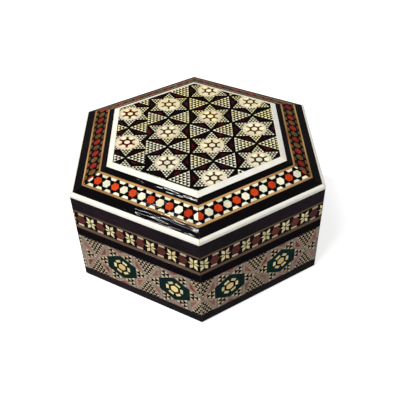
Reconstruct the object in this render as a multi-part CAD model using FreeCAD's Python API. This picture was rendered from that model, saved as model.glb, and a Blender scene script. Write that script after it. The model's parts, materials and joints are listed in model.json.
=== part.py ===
# Hexagonal keepsake box with a hinged, bevelled lid, faced with geometric wood and bone inlay.
# Millimetres, +Z up, origin at the centre of the underside, front side towards -Y, hinges on the +Y side.
# The wooden core is six mitred walls on a base board, and six more under a chamfered top board for the lid.
# Every face of the core carries strips of facing, mitred at the corners, and the inside is lined with velvet.
# The inlaid panels are sheets of fine chips, with the pattern's hexagons let into them as separate pieces.

import FreeCAD
import Part

import math
import os

V = FreeCAD.Vector

# Plan of the box
SIDE = 50.0                # one side of the outer hexagon
SEAM_GAP = 0.2             # between the box's rim and the closed lid

# Facing strips up the side of the box, from the underside
BASE_BORDER = 4.3
BOX_PANEL = 16.9
TOP_BORDER = 3.6

# Facing strips up the side of the lid, from its rim
LOWER_LINE = 1.4
LID_BAND = 6.0
UPPER_LINE = 0.8
SIDE_BLACK = 5.4
RIM_LINE_SIDE = 1.2

# Facing strips up the bevel, from the arris above the lid's side
BEVEL_ANGLE = 24.6         # slope of the bevel, in degrees
RIM_LINE_SLOPE = 1.25
OUTER_BLACK = 3.35
OUTER_WOOD_LINE = 0.8
BEVEL_BAND = 5.4
INNER_WOOD_LINE = 0.8
INNER_BLACK = 2.3
FRAME_LINE_SLOPE = 2.05
FRAME_LINE_TOP = 0.2       # the part of the white frame that lies on the flat top

# Inlay: hexagons let into the panels, centre to corner, and how far apart they stand
INLAY_DEPTH = 0.5
INLAY_END = 0.4            # the hexagons stop this far short of a panel's mitred ends
SMALLEST_CHIP = 0.25       # a hexagon cut by the panel's edge to less than this share is left out
TOP_STAR_SPACING = 18.0    # between neighbours in the triangular lattice on the flat top
TOP_STAR_HEXAGON = 4.6
TOP_FIRST_STAR = (5.6, 9.3)
TOP_LATTICE_TURN = 30.0    # degrees
TOP_SEAM = -17.6           # left of this joint between two sheets the lattice is slipped
TOP_SLIP = (1.2, 3.4)
BOX_STAR_SPACING = 21.6
BOX_HEXAGON_WIDTH = 12.0
BOX_HEXAGON_HEIGHT = 11.4
LID_HEXAGON_SPACING = 8.1
LID_HEXAGON = 1.85
BEVEL_HEXAGON_SPACING = 7.0
BEVEL_HEXAGON = 1.5
# Where the row of hexagons starts on each side, from the middle of the side and in the order of SIDES
BOX_STARTS = (-7.0, -13.4, 3.2, -9.5, 6.0, -4.0)
LID_STARTS = (2.4, 4.9, 1.2, 3.6, 6.9, 0.4)
BEVEL_STARTS = (3.15, 0.7, 4.55, 1.75, 5.6, 0.0)

# Layers of the shell
FACING = 1.4               # thickness of every facing strip and panel
WALL = 4.4                 # wooden walls of box and lid
BASE_BOARD = 3.2
LID_BOARD_EDGE = 1.7       # upright edge of the lid's top board, below its chamfer
LINING = 0.8               # velvet on card
LINING_SETBACK = 0.6       # the linings stop this far short of each rim

# Eased arrises
RIM_ROUND = 0.8
BASE_CHAMFER = 0.6

# Hinges, let into the back rims
LID_OPENING = 105.0        # degrees from shut to where the chamfered back arrises meet
STOP_CLEARANCE = 0.5       # degrees left between those arrises at full opening
HINGE_LENGTH = 12.0
HINGE_SPACING = 26.0       # between the centres of the two hinges
HINGE_INSET = 0.7          # pin's axis to the back face
BARREL_RADIUS = 1.0
PIN_RADIUS = 0.5
PIN_CLEARANCE = 0.03
KNUCKLE_GAP = 0.1
KNUCKLES = 3               # along each barrel, the box's leaf holding the outer ones
LEAF = 0.7                 # thickness of a hinge leaf
LEAF_MARGIN = 0.4          # wood left between a leaf and the inside of the wall
MORTISE_CLEARANCE = 0.1
SCREWS_PER_LEAF = 2
SCREW_SPACING = 7.0
SCREW_LENGTH = 5.0
SCREW_RADIUS = 0.45
SCREW_HEAD_RADIUS = 0.9
SCREW_CLEARANCE = 0.02

SIDES = ("front", "front_right", "back_right", "back", "back_left", "front_left")
TURN = 360.0 / len(SIDES)
HALF_TURN = math.radians(TURN / 2)

# Places that follow from the sizes above
apothem = SIDE / (2 * math.tan(HALF_TURN))
core = apothem - FACING
cavity = core - WALL
lined = cavity - LINING
box_rim = BASE_BORDER + BOX_PANEL + TOP_BORDER
lid_rim = box_rim + SEAM_GAP
arris = lid_rim + LOWER_LINE + LID_BAND + UPPER_LINE + SIDE_BLACK + RIM_LINE_SIDE
slope = math.radians(BEVEL_ANGLE)
slope_length = (RIM_LINE_SLOPE + OUTER_BLACK + OUTER_WOOD_LINE + BEVEL_BAND
                + INNER_WOOD_LINE + INNER_BLACK + FRAME_LINE_SLOPE)
top = arris + slope_length * math.sin(slope)
top_flat = apothem - slope_length * math.cos(slope)
star_panel = top_flat - FRAME_LINE_TOP
reach = 2 * SIDE           # longer than any piece, for cutting tools


def on_bevel(along, depth=0.0):
    """Point (distance from the axis, height) at a distance up the bevel and a depth below its surface."""
    return (apothem - along * math.cos(slope) - depth * math.sin(slope),
            arris + along * math.sin(slope) - depth * math.cos(slope))


core_arris = on_bevel(FACING * (1 - math.sin(slope)) / math.cos(slope), FACING)
core_top = on_bevel(slope_length - FACING * (1 - math.cos(slope)) / math.sin(slope), FACING)
board_under = core_arris[1] - LID_BOARD_EDGE


# Mitred bars: a profile of (distance from the axis, height) points, run along one side of the hexagon

def outline(points, rounds=None):
    """Closed wire through profile points, with the corners listed in rounds drawn as arcs."""
    rounds = rounds or {}
    corners = [V(0, -a, z) for a, z in points]
    entries, edges, arcs = [], [], {}
    for i, corner in enumerate(corners):
        before = (corners[i - 1] - corner).normalize()
        after = (corners[(i + 1) % len(corners)] - corner).normalize()
        radius = rounds.get(i, 0.0)
        if not radius:
            entries.append((corner, corner))
            continue
        half = before.getAngle(after) / 2
        tangent = radius / math.tan(half)
        bisector = (before + after).normalize()
        middle = corner + bisector * (radius / math.sin(half) - radius)
        entries.append((corner + before * tangent, corner + after * tangent))
        arcs[i] = middle
    for i, (start, end) in enumerate(entries):
        if i in arcs:
            edges.append(Part.Arc(start, arcs[i], end).toShape())
        edges.append(Part.LineSegment(end, entries[(i + 1) % len(entries)][0]).toShape())
    return Part.Wire(edges)


def sector():
    """Wedge of plan that belongs to the front side, as high as any piece."""
    half_width = reach * math.tan(HALF_TURN)
    corners = [V(0, 0, -reach), V(-half_width, -reach, -reach), V(half_width, -reach, -reach)]
    return Part.Face(Part.makePolygon(corners + corners[:1])).extrude(V(0, 0, 2 * reach))


def ring(points, rounds=None):
    """The six mitred bars of one profile, in the order of SIDES."""
    run = Part.Face(outline(points, rounds)).extrude(V(2 * reach, 0, 0))
    run.translate(V(-reach, 0, 0))
    bar = run.common(sector()).Solids[0]
    bars = []
    for number in range(len(SIDES)):
        turned = bar.copy()
        turned.rotate(V(0, 0, 0), V(0, 0, 1), number * TURN)
        bars.append(turned)
    return bars


def upright_ring(outer, inner, low, high):
    """Six mitred bars of rectangular section."""
    return ring([(outer, low), (outer, high), (inner, high), (inner, low)])


def bevel_ring(start, width):
    """Six mitred strips that lie on the bevel, from a distance up it and of a width."""
    return ring([on_bevel(start), on_bevel(start + width),
                 on_bevel(start + width, FACING), on_bevel(start, FACING)])


def hexagon(distance, height):
    """Hexagonal wire with its flats at a distance from the axis."""
    corner = distance / math.cos(HALF_TURN)
    angles = [math.radians(TURN * i) for i in range(len(SIDES) + 1)]
    return Part.makePolygon([V(corner * math.cos(a), corner * math.sin(a), height) for a in angles])


def hexagonal_plate(distance, low, high):
    """Hexagonal board with its flats at a distance from the axis."""
    return Part.Face(hexagon(distance, low)).extrude(V(0, 0, high - low))


# Hinges

back = SIDES.index("back")
back_sides = (back - 1, back, back + 1)
axis_y = apothem - HINGE_INSET
axis_z = (box_rim + lid_rim) / 2
hinge_centres = (-HINGE_SPACING / 2, HINGE_SPACING / 2)
leaf_inner = cavity + LEAF_MARGIN
leaf_outer = axis_y - BARREL_RADIUS - MORTISE_CLEARANCE
screw_y = (leaf_inner + leaf_outer) / 2
screw_offsets = [(i - (SCREWS_PER_LEAF - 1) / 2) * SCREW_SPACING for i in range(SCREWS_PER_LEAF)]
knuckle_length = (HINGE_LENGTH - (KNUCKLES - 1) * KNUCKLE_GAP) / KNUCKLES


def along_x(radius, start, length):
    """Cylinder on the hinge axis."""
    return Part.makeCylinder(radius, length, V(start, axis_y, axis_z), V(1, 0, 0))


def block(x, y, z):
    """Box between pairs of limits."""
    return Part.makeBox(x[1] - x[0], y[1] - y[0], z[1] - z[0], V(x[0], y[0], z[0]))


def leaf_heights(upward):
    """Lower and upper face of a leaf: the lid's leaf lies above its rim, the box's below."""
    return (lid_rim, lid_rim + LEAF) if upward else (box_rim - LEAF, box_rim)


def screw(x, upward, clearance=0.0):
    """Countersunk wood screw with its head flush with the leaf, or with clearance the hole for it."""
    face = lid_rim if upward else box_rim
    head, shank = SCREW_HEAD_RADIUS + clearance, SCREW_RADIUS + clearance
    length = SCREW_LENGTH + clearance
    half = [(0, 0), (head, 0), (shank, LEAF), (shank, length), (0, length)]
    wire = Part.makePolygon([V(r, 0, z) for r, z in half + half[:1]])
    body = Part.Face(wire).revolve(V(0, 0, 0), V(0, 0, 1), 360)
    if not upward:
        body.rotate(V(0, 0, 0), V(1, 0, 0), 180)
    body.translate(V(x, screw_y, face))
    return body


def leaf(centre, upward):
    """Leaf with its knuckles bored for the pin and its screw holes countersunk."""
    low, high = leaf_heights(upward)
    start = centre - HINGE_LENGTH / 2
    plate = block((start, start + HINGE_LENGTH), (leaf_inner, leaf_outer), (low, high))
    for number in range(KNUCKLES):
        if (number % 2 == 1) != upward:
            continue
        left = start + number * (knuckle_length + KNUCKLE_GAP)
        tab = block((left, left + knuckle_length), (leaf_outer, axis_y), (low, high))
        plate = plate.fuse([tab, along_x(BARREL_RADIUS, left, knuckle_length)])
    plate = plate.cut(along_x(PIN_RADIUS + PIN_CLEARANCE, start, HINGE_LENGTH))
    for offset in screw_offsets:
        plate = plate.cut(screw(centre + offset, upward, SCREW_CLEARANCE))
    return plate.removeSplitter()


def hinge_relief(upward):
    """What the hinges take out of a rim: mortises, barrel grooves, screw holes and the chamfered arris."""
    low, high = leaf_heights(upward)
    if upward:
        low = axis_z
    else:
        high = axis_z
    tools = []
    for centre in hinge_centres:
        start = centre - HINGE_LENGTH / 2 - MORTISE_CLEARANCE
        length = HINGE_LENGTH + 2 * MORTISE_CLEARANCE
        tools.append(block((start, start + length), (leaf_inner - MORTISE_CLEARANCE, axis_y), (low, high)))
        tools.append(along_x(BARREL_RADIUS + MORTISE_CLEARANCE, start, length))
        tools += [screw(centre + offset, upward, SCREW_CLEARANCE) for offset in screw_offsets]
    fall = math.tan(math.radians((LID_OPENING + STOP_CLEARANCE) / 2)) * (1 if upward else -1)
    corners = [V(-reach, axis_y, axis_z), V(-reach, axis_y + SIDE, axis_z + SIDE * fall),
               V(-reach, axis_y + SIDE, axis_z)]
    chamfer = Part.Face(Part.makePolygon(corners + corners[:1])).extrude(V(2 * reach, 0, 0))
    return tools + [chamfer]


def relieve(bars, upward):
    """A ring of bars with the hinges let into the back one and the back arris chamfered."""
    tools = hinge_relief(upward)
    return [bar.cut(tools) if number in back_sides else bar for number, bar in enumerate(bars)]


# Inlay: hexagons drawn flat about the middle of their panel, with +Y up the face

def hexagon_chip(half_width, half_height, first):
    """Hexagonal prism below the drawing's plane, its first corner at an angle in degrees."""
    angles = [math.radians(first + TURN * i) for i in range(len(SIDES) + 1)]
    corners = [V(half_width * math.cos(a), half_height * math.sin(a), 0) for a in angles]
    return Part.Face(Part.makePolygon(corners)).extrude(V(0, 0, -INLAY_DEPTH))


def row(spacing, start):
    """Places along a side for a row of hexagons."""
    count = math.ceil(SIDE / spacing)
    return [(start + i * spacing, 0) for i in range(-count, count + 1)]


def shortened(panel, turn):
    """A side's panel with both of its mitred ends set back, as the field that its hexagons may fill."""
    along = V(math.cos(math.radians(turn)), math.sin(math.radians(turn)), 0)
    for step in (INLAY_END, -INLAY_END):
        moved = panel.copy()
        moved.translate(along * step)
        panel = panel.common(moved)
    return panel


def let_in(panel, field, chip, places, tilt, centre, turn):
    """Sets copies of a chip into a panel: returns the pocketed panel, and the chips cut to the field."""
    chips = []
    for along, up in places:
        tool = chip.copy()
        tool.translate(V(along, up, 0))
        tool.rotate(V(0, 0, 0), V(1, 0, 0), tilt)
        tool.translate(centre)
        tool.rotate(V(0, 0, 0), V(0, 0, 1), turn)
        chips += [piece for piece in field.common(tool).Solids if piece.Volume > SMALLEST_CHIP * chip.Volume]
    return panel.cut(chips), chips


def inlaid_sides(panels, chip, spacing, starts, tilt, centre):
    """Sets a row of chips into each side's panel: returns the six panels and all the chips."""
    pocketed, chips = [], []
    for number, panel in enumerate(panels):
        turn = number * TURN
        field = shortened(panel, turn)
        panel, set_in = let_in(panel, field, chip, row(spacing, starts[number]), tilt, centre, turn)
        pocketed.append(panel)
        chips += set_in
    return pocketed, chips


def top_lattice(slip):
    """Star centres on the flat top, in the lattice's own directions."""
    count = math.ceil(SIDE / TOP_STAR_SPACING)
    places = []
    for column in range(-count - 1, count + 2):
        x = TOP_FIRST_STAR[0] + slip[0] + column * TOP_STAR_SPACING * math.cos(HALF_TURN)
        for number in range(-count - 1, count + 2):
            y = TOP_FIRST_STAR[1] + slip[1] + (number + (column % 2) / 2) * TOP_STAR_SPACING
            places.append((x, y))
    return places


def star_top():
    """The flat top's panel, made of two sheets with a slipped lattice, and its hexagons."""
    panel = hexagonal_plate(star_panel, top - FACING, top)
    chip = hexagon_chip(TOP_STAR_HEXAGON, TOP_STAR_HEXAGON, 0)
    sheets = ((TOP_SEAM, reach, (0, 0)), (-reach, TOP_SEAM, TOP_SLIP))
    chips = []
    for left, right, slip in sheets:
        sheet = block((left, right), (-reach, reach), (0, reach))
        sheet.rotate(V(0, 0, 0), V(0, 0, 1), TOP_LATTICE_TURN)
        sheet = sheet.common(panel)
        chips += let_in(sheet, sheet, chip, top_lattice(slip), 0, V(0, 0, top), TOP_LATTICE_TURN)[1]
    return panel.cut(chips), chips


# Pieces of the box

def box_pieces():
    """Nodes of the box: core, facing and lining."""
    walls = relieve(upright_ring(core, cavity, BASE_BOARD, box_rim), False)
    panel_low, panel_high = BASE_BORDER, BASE_BORDER + BOX_PANEL
    panels = upright_ring(apothem, core, panel_low, panel_high)
    chip = hexagon_chip(BOX_HEXAGON_WIDTH / 2 / math.cos(HALF_TURN), BOX_HEXAGON_HEIGHT / 2, TURN / 2)
    middle = V(0, -apothem, (panel_low + panel_high) / 2)
    panels, hexagons = inlaid_sides(panels, chip, BOX_STAR_SPACING, BOX_STARTS, 90, middle)
    floor = BASE_BOARD + LINING
    base_border = ring([(apothem - BASE_CHAMFER, 0), (apothem, BASE_CHAMFER), (apothem, BASE_BORDER),
                        (core, BASE_BORDER), (core, 0)])
    nodes = {
        "base_board": [hexagonal_plate(core, 0, BASE_BOARD)],
        "box_base_border": base_border,
        "box_top_border": relieve(upright_ring(apothem, core, panel_high, box_rim), False),
        "box_floor_lining": [hexagonal_plate(cavity, BASE_BOARD, floor)],
        "box_wall_lining": upright_ring(cavity, lined, floor, box_rim - LINING_SETBACK),
        "box_star_hexagons": hexagons,
    }
    for number, side in enumerate(SIDES):
        nodes["box_wall_" + side] = [walls[number]]
        nodes["box_inlay_" + side] = [panels[number]]
    return nodes


# Pieces of the lid

def lid_side_pieces():
    """Nodes of the lid's upright sides: core, facing and lining."""
    walls = relieve(upright_ring(core, cavity, lid_rim, board_under), True)
    strips = (("lid_lower_line", LOWER_LINE), ("band", LID_BAND), ("lid_upper_line", UPPER_LINE),
              ("lid_side_black", SIDE_BLACK))
    nodes = {}
    low = lid_rim
    for name, width in strips:
        nodes[name] = upright_ring(apothem, core, low, low + width)
        low += width
    nodes["lid_lower_line"] = relieve(nodes["lid_lower_line"], True)
    middle = V(0, -apothem, lid_rim + LOWER_LINE + LID_BAND / 2)
    chip = hexagon_chip(LID_HEXAGON, LID_HEXAGON, 0)
    band = relieve(nodes.pop("band"), True)
    band, hexagons = inlaid_sides(band, chip, LID_HEXAGON_SPACING, LID_STARTS, 90, middle)
    nodes["lid_band_hexagons"] = hexagons
    for number, side in enumerate(SIDES):
        nodes["lid_wall_" + side] = [walls[number]]
        nodes["lid_inlay_" + side] = [band[number]]
    nodes["lid_wall_lining"] = upright_ring(cavity, lined, lid_rim + LINING_SETBACK, board_under - LINING)
    return nodes


def white_lines():
    """The two white stringings: round the lid's arris, and framing the flat top."""
    rim_low = arris - RIM_LINE_SIDE
    rim = ring([(apothem, arris), on_bevel(RIM_LINE_SLOPE), on_bevel(RIM_LINE_SLOPE, FACING),
                core_arris, (core, rim_low), (apothem, rim_low)], {0: RIM_ROUND})
    start = slope_length - FRAME_LINE_SLOPE
    frame = ring([(top_flat, top), (star_panel, top), (star_panel, top - FACING),
                  core_top, on_bevel(start, FACING), on_bevel(start)])
    return {"lid_rim_white_line": rim, "lid_frame_white_line": frame}


def lid_top_pieces():
    """Nodes of the bevelled top: chamfered board, facing strips and star panel."""
    chamfer = ring([core_arris, core_top, (core, core_top[1])])
    panel, stars = star_top()
    nodes = {
        "lid_top_board": [hexagonal_plate(core, board_under, core_top[1]).cut(chamfer)],
        "lid_star_panel": [panel],
        "lid_star_hexagons": stars,
        "lid_ceiling_lining": [hexagonal_plate(cavity, board_under - LINING, board_under)],
    }
    strips = (("bevel_outer_black", OUTER_BLACK), ("bevel_outer_wood_line", OUTER_WOOD_LINE),
              ("band", BEVEL_BAND), ("bevel_inner_wood_line", INNER_WOOD_LINE),
              ("bevel_inner_black", INNER_BLACK))
    start = RIM_LINE_SLOPE
    for name, width in strips:
        nodes[name] = bevel_ring(start, width)
        start += width
    distance, height = on_bevel(RIM_LINE_SLOPE + OUTER_BLACK + OUTER_WOOD_LINE + BEVEL_BAND / 2)
    chip = hexagon_chip(BEVEL_HEXAGON, BEVEL_HEXAGON, 0)
    band, hexagons = inlaid_sides(nodes.pop("band"), chip, BEVEL_HEXAGON_SPACING, BEVEL_STARTS,
                                  BEVEL_ANGLE, V(0, -distance, height))
    nodes["bevel_hexagons"] = hexagons
    for number, side in enumerate(SIDES):
        nodes["bevel_inlay_" + side] = [band[number]]
    nodes.update(white_lines())
    return nodes


def hinge_pieces():
    """Nodes of the two hinges."""
    starts = [centre - HINGE_LENGTH / 2 for centre in hinge_centres]
    places = [centre + offset for centre in hinge_centres for offset in screw_offsets]
    return {
        "hinge_box_leaves": [leaf(centre, False) for centre in hinge_centres],
        "hinge_lid_leaves": [leaf(centre, True) for centre in hinge_centres],
        "hinge_pins": [along_x(PIN_RADIUS, start, HINGE_LENGTH) for start in starts],
        "hinge_box_screws": [screw(x, False) for x in places],
        "hinge_lid_screws": [screw(x, True) for x in places],
    }


def main():
    """Builds every node and writes it to its own file."""
    os.makedirs("parts", exist_ok=True)
    nodes = {**box_pieces(), **lid_side_pieces(), **lid_top_pieces(), **hinge_pieces()}
    for name, shapes in nodes.items():
        solids = [solid for shape in shapes for solid in shape.Solids]
        Part.makeCompound(solids).exportStep(os.path.join("parts", name + ".step"))
    print(len(nodes), "nodes,", round(2 * apothem, 1), "mm across flats,", round(top, 1), "mm high")


main()
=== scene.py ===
"""Dresses the hexagonal inlaid box: star inlay, lacquered strips, velvet lining and brass hinges."""

from __future__ import annotations

import json
import logging
import math
import random
from collections.abc import Callable, Iterator, Sequence
from contextlib import contextmanager
from dataclasses import dataclass, replace
from enum import Enum

import bpy
from bpy.types import Material, MeshPolygon, Node, NodeSocket, Object, ShaderNodeTree
from mathutils import Matrix, Vector

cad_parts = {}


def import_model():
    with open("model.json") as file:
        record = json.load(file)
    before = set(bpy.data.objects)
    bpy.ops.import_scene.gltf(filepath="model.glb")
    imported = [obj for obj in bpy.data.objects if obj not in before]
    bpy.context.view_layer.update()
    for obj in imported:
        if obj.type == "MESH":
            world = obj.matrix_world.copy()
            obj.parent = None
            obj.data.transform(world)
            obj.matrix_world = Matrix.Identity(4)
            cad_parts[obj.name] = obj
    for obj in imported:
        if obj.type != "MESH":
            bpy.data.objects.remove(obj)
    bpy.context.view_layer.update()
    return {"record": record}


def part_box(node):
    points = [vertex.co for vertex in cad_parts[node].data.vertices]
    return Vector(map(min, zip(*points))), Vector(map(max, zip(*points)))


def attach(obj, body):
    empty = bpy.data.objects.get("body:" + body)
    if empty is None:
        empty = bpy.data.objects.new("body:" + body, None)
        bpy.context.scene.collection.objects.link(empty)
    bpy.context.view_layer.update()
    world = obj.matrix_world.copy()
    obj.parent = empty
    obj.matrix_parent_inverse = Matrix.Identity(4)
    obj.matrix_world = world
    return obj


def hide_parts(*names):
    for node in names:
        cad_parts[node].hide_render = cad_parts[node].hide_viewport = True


LOG = logging.getLogger("inlaid_box")
MM = 0.001
SIDES = ("front", "front_right", "back_right", "back", "back_left", "front_left")
TURN = math.radians(60.0)
HALF_ROOT3 = math.sqrt(3.0) / 2.0
BOTH = (1.0, -1.0)

# A chip that others lie on is lower by this much for each of them, in millimetres
LAYER = 0.004
# Face attribute that holds the tone of each chip
TONE = "tone"
# Points of a solid's copy that are nearer than this are one, in metres
WELD = 0.001 * MM
# Points this near to a plane lie in it, in metres
LEVEL = 0.01 * MM
# A step from a face into its solid, in metres
HAIR = 0.02 * MM
# Faces that turn by less than this are one flat face
FLAT = math.radians(1.0)

Colour = tuple[float, float, float]
Pair = tuple[float, float]
Place = tuple[float, float]
Cut = tuple[Place, Pair]
FaceTest = Callable[[MeshPolygon], bool]

BLACK: Colour = (0.0, 0.0, 0.0)
WHITE: Colour = (1.0, 1.0, 1.0)

# Strengths of a pattern at which a finish is dark, plain and light, or one of two
MOTTLE_STOPS = (0.28, 0.5, 0.74)
GRAIN_STOPS = (0.3, 0.55, 0.8)
PATCH_STOPS = (0.38, 0.62)
TARNISH_STOPS = (0.3, 0.7)


class Chip(Enum):
    """Woods and bones that the inlay is cut from, in the order of an inlay piece's material slots."""

    EBONY = 0
    BONE = 1
    CREAM = 2
    RED = 3
    ORANGE = 4
    MAROON = 5
    GREEN = 6
    SALMON = 7
    PINK = 8
    GOLD = 9
    BEIGE = 10
    PALE = 11
    BROWN = 12
    BRICK = 13
    # Darker copies of bone and orange: painted shade on the bevels that are seen dimmer.
    AGED = 14
    RUST = 15
    IVORY = 16


# Finishes

class Nodes:
    """A shader tree with short calls to add and join nodes."""

    def __init__(self, tree: ShaderNodeTree) -> None:
        """Keeps the tree to add to."""
        self.tree = tree

    def fill(self, node: Node, **values: object) -> Node:
        """Sets sockets of a node.

        Args:
            node: Node to change.
            **values: Values of its inputs, with underscores for spaces.

        Returns:
            The node.
        """
        for name, value in values.items():
            node.inputs[name.replace("_", " ")].default_value = value
        return node

    def add(self, kind: str, **values: object) -> Node:
        """Adds a node.

        Args:
            kind: Type of the node, without its ShaderNode prefix.
            **values: Values of its inputs, with underscores for spaces.

        Returns:
            The new node.
        """
        return self.fill(self.tree.nodes.new("ShaderNode" + kind), **values)

    def join(self, source: NodeSocket, target: NodeSocket) -> None:
        """Links an output to an input."""
        self.tree.links.new(source, target)

    def whole(self) -> NodeSocket:
        """Object coordinates as they are."""
        return self.add("TexCoord").outputs["Object"]

    def places(self, stretch: Sequence[float] = (1.0, 1.0, 1.0)) -> NodeSocket:
        """Object coordinates, stretched.

        Args:
            stretch: Scale along each axis.

        Returns:
            The vector output to read.
        """
        mapping = self.add("Mapping", Scale=stretch)
        self.join(self.whole(), mapping.inputs["Vector"])
        return mapping.outputs["Vector"]

    def combine(self, operation: str, first: NodeSocket, second: NodeSocket) -> NodeSocket:
        """Combines two numbers.

        Args:
            operation: Name of the sum to do.
            first: First number.
            second: Second number.

        Returns:
            The result.
        """
        node = self.add("Math")
        node.operation = operation
        self.join(first, node.inputs[0])
        self.join(second, node.inputs[1])
        return node.outputs["Value"]

    def reach(self, direction: Sequence[float]) -> NodeSocket:
        """How far a place lies in a direction.

        Args:
            direction: The direction, whose length scales the result.

        Returns:
            The number.
        """
        node = self.add("VectorMath")
        node.operation = "DOT_PRODUCT"
        node.inputs[1].default_value = direction
        self.join(self.whole(), node.inputs[0])
        return node.outputs["Value"]

    def along_sides(self, slowness: float) -> NodeSocket:
        """Object coordinates that change quickly across the strips round the box, and slowly along them.

        Args:
            slowness: Share of the change that is left along a strip.

        Returns:
            The vector output to read.
        """
        outmost = self.reach(normal_of(0))
        for side in range(1, len(SIDES)):
            outmost = self.combine("MAXIMUM", outmost, self.reach(normal_of(side)))
        parts = self.add("SeparateXYZ")
        self.join(self.whole(), parts.inputs["Vector"])
        across = self.add("CombineXYZ")
        self.join(self.combine("SUBTRACT", outmost, parts.outputs["Z"]), across.inputs["Z"])
        slow = self.add("VectorMath")
        slow.operation = "MULTIPLY_ADD"
        slow.inputs[1].default_value = (slowness, slowness, 0.0)
        self.join(self.whole(), slow.inputs[0])
        self.join(across.outputs["Vector"], slow.inputs[2])
        return slow.outputs["Vector"]

    def noise(self, places: NodeSocket, scale: float, detail: float) -> NodeSocket:
        """Noise pattern over the given places.

        Args:
            places: Vector output to read.
            scale: Waves to the metre.
            detail: Octaves of the pattern.

        Returns:
            The pattern's strength, from 0 to 1.
        """
        noise = self.add("TexNoise", Scale=scale, Detail=detail)
        self.join(places, noise.inputs["Vector"])
        return noise.outputs["Fac"]

    def attribute(self, name: str) -> NodeSocket:
        """A number that each face of a piece carries.

        Args:
            name: Name of the attribute.

        Returns:
            The number.
        """
        node = self.add("Attribute")
        node.attribute_name = name
        return node.outputs["Fac"]

    def ramp(self, pattern: NodeSocket, stops: Sequence[float], colours: Sequence[Colour]) -> NodeSocket:
        """Turns a pattern into colours.

        Args:
            pattern: Strength from 0 to 1.
            stops: Places along that range.
            colours: Colour at each place.

        Returns:
            The colour output.
        """
        ramp = self.add("ValToRGB")
        elements = ramp.color_ramp.elements
        while len(elements) < len(stops):
            elements.new(0.5)
        for element, stop, colour in zip(elements, stops, colours):
            element.position = stop
            element.color = (*colour, 1.0)
        self.join(pattern, ramp.inputs["Fac"])
        return ramp.outputs["Color"]

    def blend(self, pattern: NodeSocket, first: NodeSocket, second: NodeSocket) -> NodeSocket:
        """Passes from one colour to another with a pattern.

        Args:
            pattern: Share of the second colour, from 0 to 1.
            first: Colour output where the pattern is low.
            second: Colour output where it is high.

        Returns:
            The colour output.
        """
        mix = self.add("MixRGB")
        self.join(pattern, mix.inputs["Fac"])
        self.join(first, mix.inputs["Color1"])
        self.join(second, mix.inputs["Color2"])
        return mix.outputs["Color"]

    def scaled(self, colour: NodeSocket, factor: NodeSocket) -> NodeSocket:
        """A colour made darker or lighter by a factor that varies.

        Args:
            colour: Colour output.
            factor: Number to scale it by.

        Returns:
            The colour output.
        """
        node = self.add("VectorMath")
        node.operation = "SCALE"
        self.join(colour, node.inputs[0])
        self.join(factor, node.inputs["Scale"])
        return node.outputs["Vector"]

    def span(self, pattern: NodeSocket, low: float, high: float, reach: Pair = (0.3, 0.7)) -> NodeSocket:
        """Turns a pattern into a number between two others.

        Args:
            pattern: Strength from 0 to 1.
            low: Number where the pattern is low.
            high: Number where it is high.
            reach: Strengths at which the number is low and high.

        Returns:
            The number.
        """
        span = self.add("MapRange", From_Min=reach[0], From_Max=reach[1], To_Min=low, To_Max=high)
        self.join(pattern, span.inputs["Value"])
        return span.outputs["Result"]

    def bump(self, pattern: NodeSocket, strength: float, depth: float) -> NodeSocket:
        """Relief from a pattern.

        Args:
            pattern: Height from 0 to 1.
            strength: Share of the relief that shows.
            depth: Full height in millimetres.

        Returns:
            The normal output.
        """
        bump = self.add("Bump", Strength=strength, Distance=depth * MM)
        self.join(pattern, bump.inputs["Height"])
        return bump.outputs["Normal"]

    def seen(self, low: float, high: float) -> NodeSocket:
        """A strength that is higher where it is seen, directly, mirrored or through glass, than as light.

        Args:
            low: Strength as light.
            high: Strength where it is seen.

        Returns:
            The strength.
        """
        path = self.add("LightPath")
        total = path.outputs["Is Camera Ray"]
        for name in ("Is Glossy Ray", "Is Transmission Ray"):
            total = self.combine("MAXIMUM", total, path.outputs[name])
        return self.span(total, low, high, (0.0, 1.0))


class FinishNodes(Nodes):
    """The nodes of a new material."""

    def __init__(self, name: str) -> None:
        """Makes the material.

        Args:
            name: Name of the material.
        """
        self.material = bpy.data.materials.new(name)
        self.material.use_nodes = True
        super().__init__(self.material.node_tree)
        self.shader = self.tree.nodes["Principled BSDF"]

    def set(self, **values: object) -> None:
        """Sets sockets of the shader, with underscores for spaces."""
        self.fill(self.shader, **values)

    def drive(self, name: str, source: NodeSocket) -> None:
        """Links an output to a socket of the shader."""
        self.join(source, self.shader.inputs[name])


def shade(colour: Colour, factor: float) -> Colour:
    """A colour made darker or lighter by a factor."""
    return tuple(min(1.0, channel * factor) for channel in colour)


@dataclass(frozen=True)
class Lacquer:
    """A clear coat with the ripple of hand-brushed lacquer, along the sides or even.

    Waves are a number to the metre and the octaves of their pattern.
    """

    gloss: float
    ripple: float = 0.25
    brushed: bool = False
    roughness: float = 0.04
    refraction: float = 1.45
    depth: float = 0.3
    slowness: float = 0.25
    brushed_waves: Pair = (520.0, 0.8)
    even_waves: Pair = (300.0, 3.0)

    def coat(self, nodes: FinishNodes) -> None:
        """Adds the coat to a finish.

        Args:
            nodes: The finish's nodes.
        """
        nodes.set(Specular_IOR_Level=0.0, Coat_Weight=self.gloss, Coat_Roughness=self.roughness,
                  Coat_IOR=self.refraction)
        if self.brushed:
            waves = nodes.noise(nodes.along_sides(self.slowness), *self.brushed_waves)
        else:
            waves = nodes.noise(nodes.places(), *self.even_waves)
        nodes.drive("Coat Normal", nodes.bump(waves, self.ripple, self.depth))


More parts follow.
